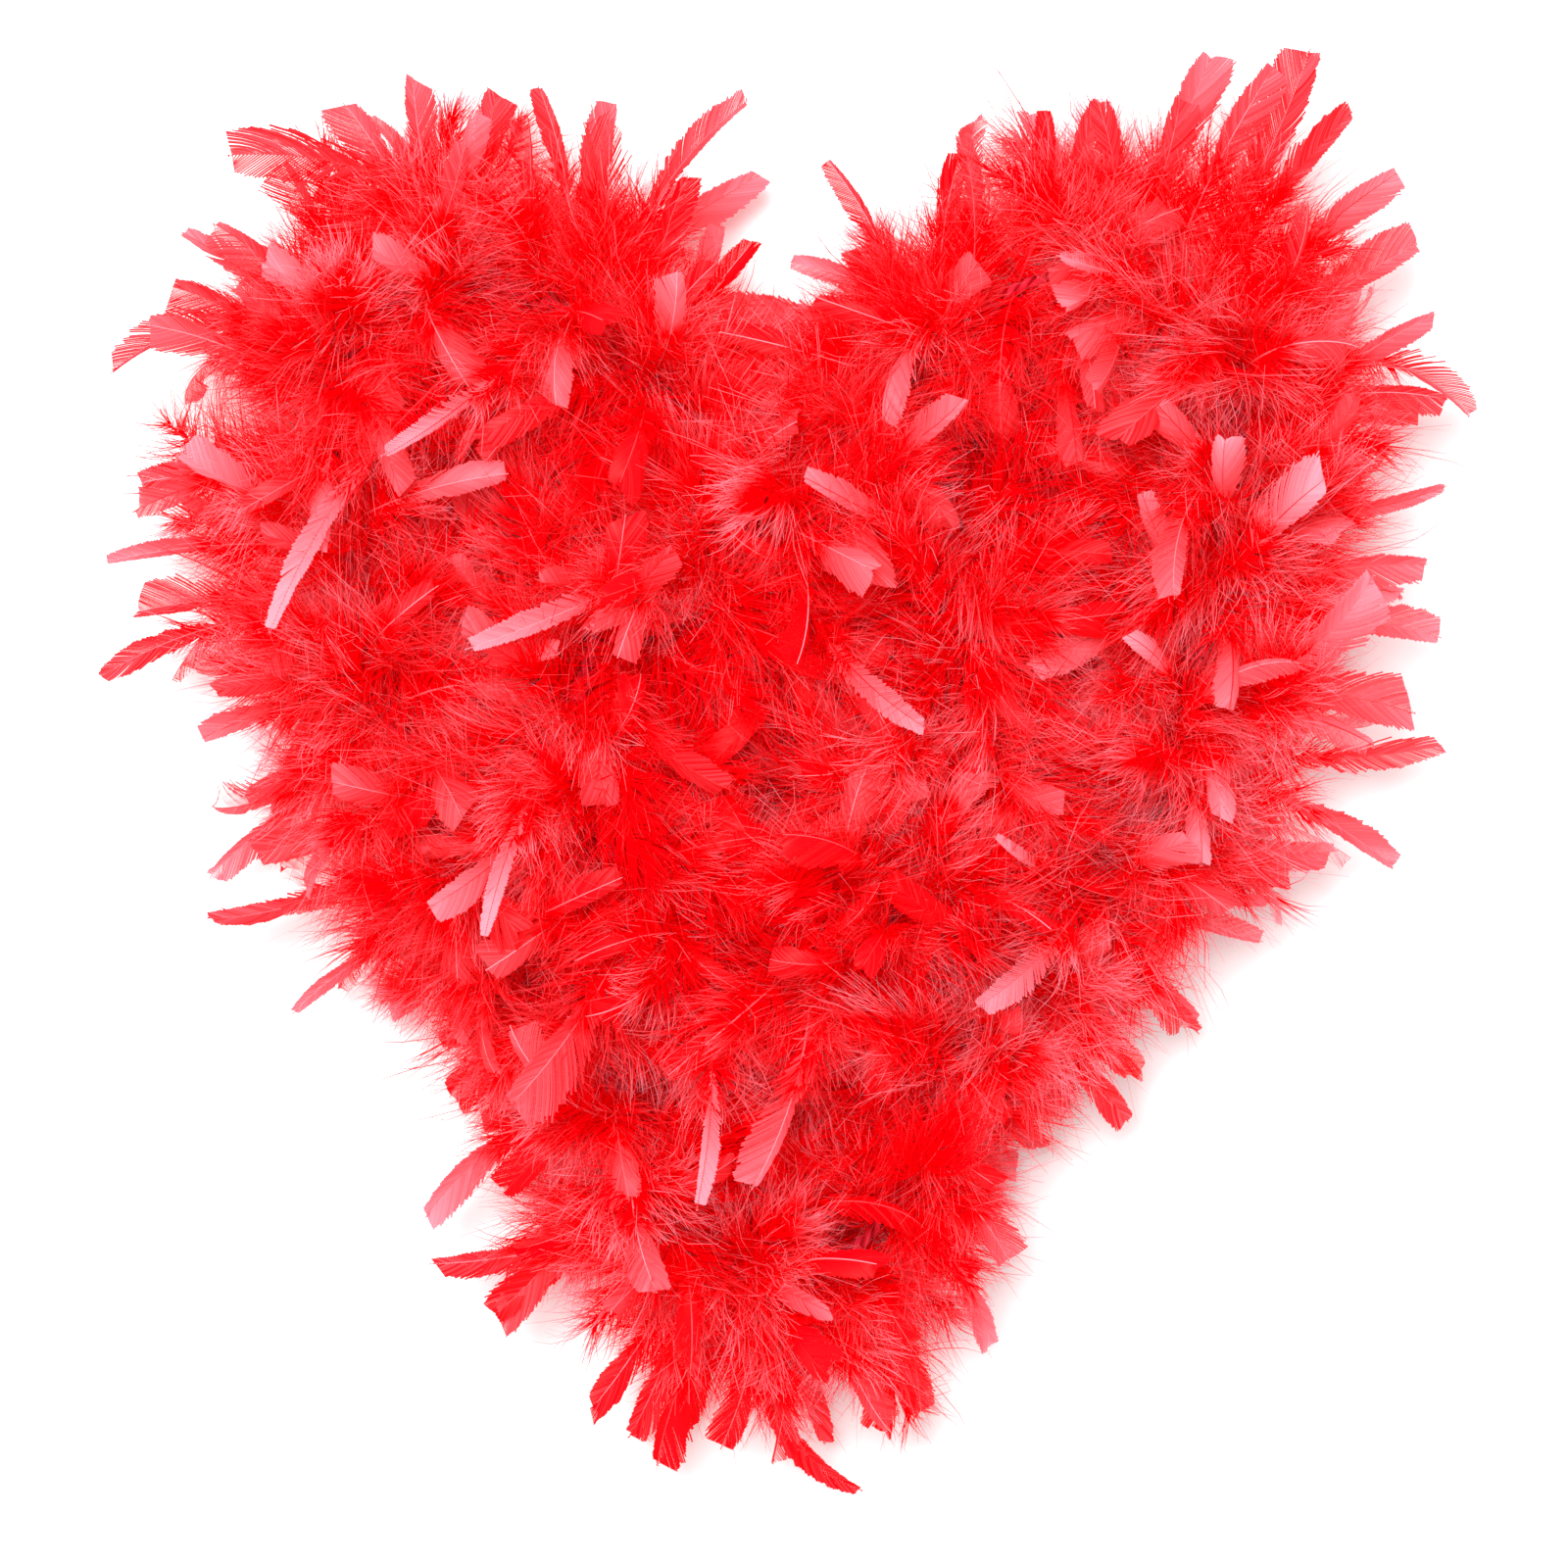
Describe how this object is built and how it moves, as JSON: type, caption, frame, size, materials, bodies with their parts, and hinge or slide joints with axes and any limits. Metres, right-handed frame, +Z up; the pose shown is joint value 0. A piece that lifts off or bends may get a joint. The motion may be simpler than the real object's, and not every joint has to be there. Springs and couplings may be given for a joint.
{
  "type": "feather boa",
  "caption": "Long fluffy feather scarf: dyed turkey feathers bound with thread all round a limp core cord, knotted at both ends and laid flat in a filled heart.",
  "frame": {"origin": "middle of the heart's footprint, on the surface that the boa lies on", "axes": "+Z up from that surface, +Y from the heart's point towards its two lobes, +X to the right as it is seen from above"},
  "size_m": [0.4777, 0.5105, 0.1386],
  "materials": {
    "feathers": "dyed turkey feather: soft matt down with a satin vane at the tip",
    "cord": "twisted two-ply cotton cord, dyed, matt",
    "thread": "polyester binding thread, dyed, slight sheen"
  },
  "bodies": {
    "root": {"core_cord": "cord", "binding_thread": "thread", "start_whipping": "thread", "end_whipping": "thread", "start_knot": "cord", "end_knot": "cord", "start_cord_end": "cord", "end_cord_end": "cord", "feathers_01": "feathers", "feathers_02": "feathers", "feathers_03": "feathers", "feathers_04": "feathers", "feathers_05": "feathers", "feathers_06": "feathers", "feathers_07": "feathers", "feathers_08": "feathers", "feathers_09": "feathers", "feathers_10": "feathers", "feathers_11": "feathers", "feathers_12": "feathers", "feathers_13": "feathers", "feathers_14": "feathers", "feathers_15": "feathers", "feathers_16": "feathers", "feathers_17": "feathers", "feathers_18": "feathers", "feathers_19": "feathers", "feathers_20": "feathers", "feathers_21": "feathers", "feathers_22": "feathers", "feathers_23": "feathers", "feathers_24": "feathers", "feathers_25": "feathers", "feathers_26": "feathers", "feathers_27": "feathers", "feathers_28": "feathers", "feathers_29": "feathers", "feathers_30": "feathers"}
  },
  "joints": []
}
